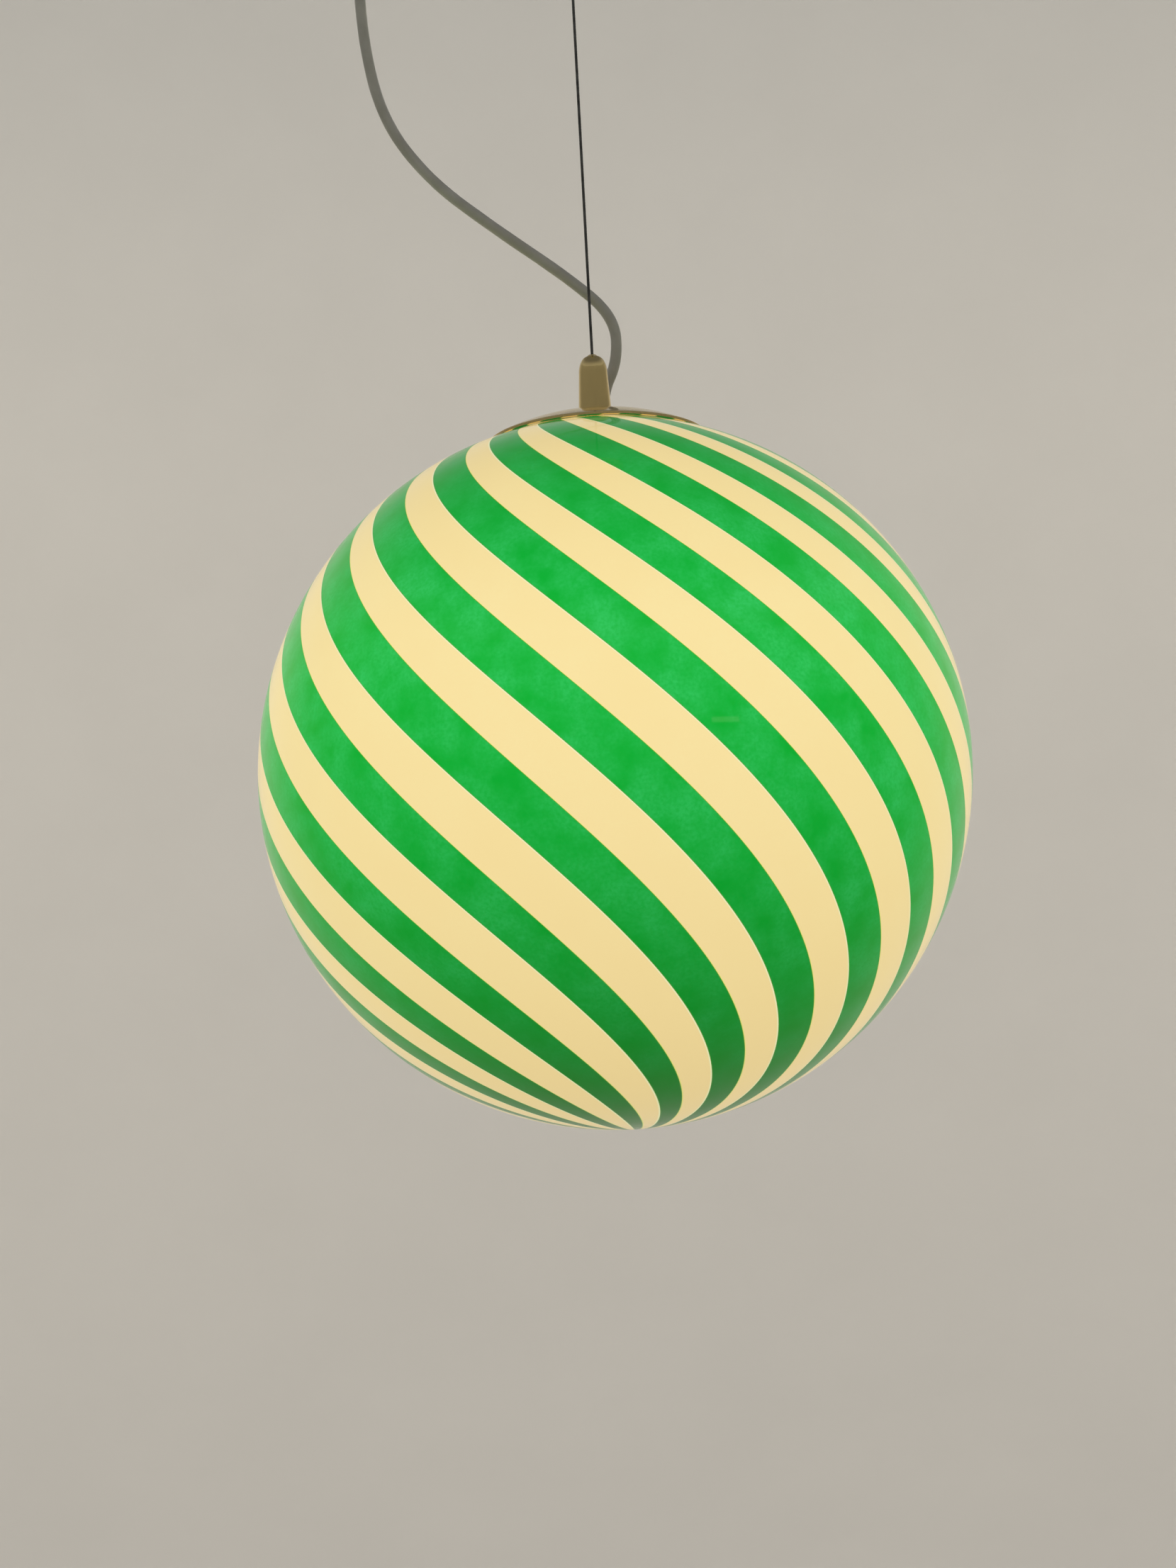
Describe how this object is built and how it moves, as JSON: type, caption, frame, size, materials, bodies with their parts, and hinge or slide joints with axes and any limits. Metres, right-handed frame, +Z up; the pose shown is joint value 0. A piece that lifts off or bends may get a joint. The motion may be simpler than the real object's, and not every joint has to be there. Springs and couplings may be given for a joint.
{
  "type": "striped glass globe pendant lamp",
  "caption": "Round opal glass globe pendant with green swirl stripes and a brass cap, hung by a thin steel wire and gripper, with a loose white flex and a round brass canopy.",
  "frame": {"origin": "centre of the ceiling bracket's top face, between its two slotted holes, where it meets the ceiling", "axes": "+Z up along the suspension wire, +X along the ceiling bracket, -Y the front"},
  "size_m": [0.3499, 0.3498, 0.8],
  "materials": {
    "polished_brass": "polished",
    "plain_brass": "turned",
    "zinc_steel": "zinc plated",
    "steel_rope": "stranded",
    "hard_steel": "ground",
    "white_flex": "smooth",
    "white_nylon": "moulded",
    "blue_core": "smooth",
    "brown_core": "smooth",
    "clear_silicone": "smooth",
    "striped_glass": "glossy cased opal glass with green swirl stripes",
    "white_porcelain": "glazed",
    "nickelled_brass": "nickel plated",
    "black_vitrite": "glassy",
    "bulb_plastic": "smooth",
    "board_aluminium": "white faced",
    "opal_plastic": "frosted opal"
  },
  "bodies": {
    "ceiling_fixing": {"ceiling_bracket": "zinc_steel", "canopy_cup": "polished_brass", "canopy_side_screws": "polished_brass", "wire_anchor": "polished_brass", "anchor_nut": "plain_brass", "canopy_cord_grip": "white_nylon", "canopy_grip_nut": "white_nylon", "flex_in_canopy": "white_flex", "terminal_block": "white_nylon", "terminal_clamps": "plain_brass", "terminal_screws": "plain_brass", "neutral_lead": "blue_core", "live_lead": "brown_core", "earth_screw": "plain_brass", "earth_washer": "zinc_steel"},
    "wire_end": {"wire_ball": "hard_steel"},
    "suspension": {"suspension_wire": "steel_rope", "flex_cord": "white_flex"},
    "lamp": {"cap": "polished_brass", "glass_gasket": "clear_silicone", "flex_bush": "white_nylon", "flex_bush_clip": "white_nylon", "gripper_body": "polished_brass", "gripper_spring": "hard_steel", "crossbar": "zinc_steel", "crossbar_pads": "clear_silicone", "stirrup": "zinc_steel", "stud_washer": "zinc_steel", "stud_nut": "plain_brass", "holder_nipple": "plain_brass", "nipple_nut": "plain_brass", "flex_tail": "white_flex", "lampholder_cap": "white_nylon", "lampholder_skirt": "white_nylon", "lampholder_core": "white_porcelain", "lampholder_thread_shell": "plain_brass", "lampholder_contact": "plain_brass"},
    "plunger": {"gripper_plunger": "polished_brass", "gripper_balls": "hard_steel"},
    "globe": {"glass_globe": "striped_glass"},
    "bulb": {"bulb_tip": "nickelled_brass", "bulb_insulator": "black_vitrite", "bulb_screw_cap": "nickelled_brass", "bulb_housing": "bulb_plastic", "bulb_led_board": "board_aluminium", "bulb_dome": "opal_plastic"}
  },
  "joints": [
    {"name": "swing_front_back", "type": "hinge", "parent": "ceiling_fixing", "child": "wire_end", "pos_m": [0, 0, -0.0315], "axis": [1, 0, 0], "range_deg": [-10, 10]},
    {"name": "swing_side_to_side", "type": "hinge", "parent": "wire_end", "child": "suspension", "pos_m": [0, 0, -0.0315], "axis": [0, 1, 0], "range_deg": [-10, 10]},
    {"name": "height_adjust", "type": "slide", "parent": "suspension", "child": "lamp", "axis": [0, 0, 1], "range_m": [0, 0.15], "deforming": ["suspension_wire", "flex_cord"]},
    {"name": "plunger_press", "type": "slide", "parent": "lamp", "child": "plunger", "axis": [0, 0, -1], "range_m": [0, 0.0015], "stiffness_N_per_m": 800, "springref_m": -0.002, "deforming": ["gripper_spring"]},
    {"name": "globe_turn", "type": "hinge", "parent": "lamp", "child": "globe", "pos_m": [0, 0, -0.62497], "axis": [0, 0, 1], "continuous": true},
    {"name": "bulb_screw", "type": "hinge", "parent": "lamp", "child": "bulb", "pos_m": [0, 0, -0.62497], "axis": [0, 0, 1], "range_deg": [-1440, 0]}
  ]
}
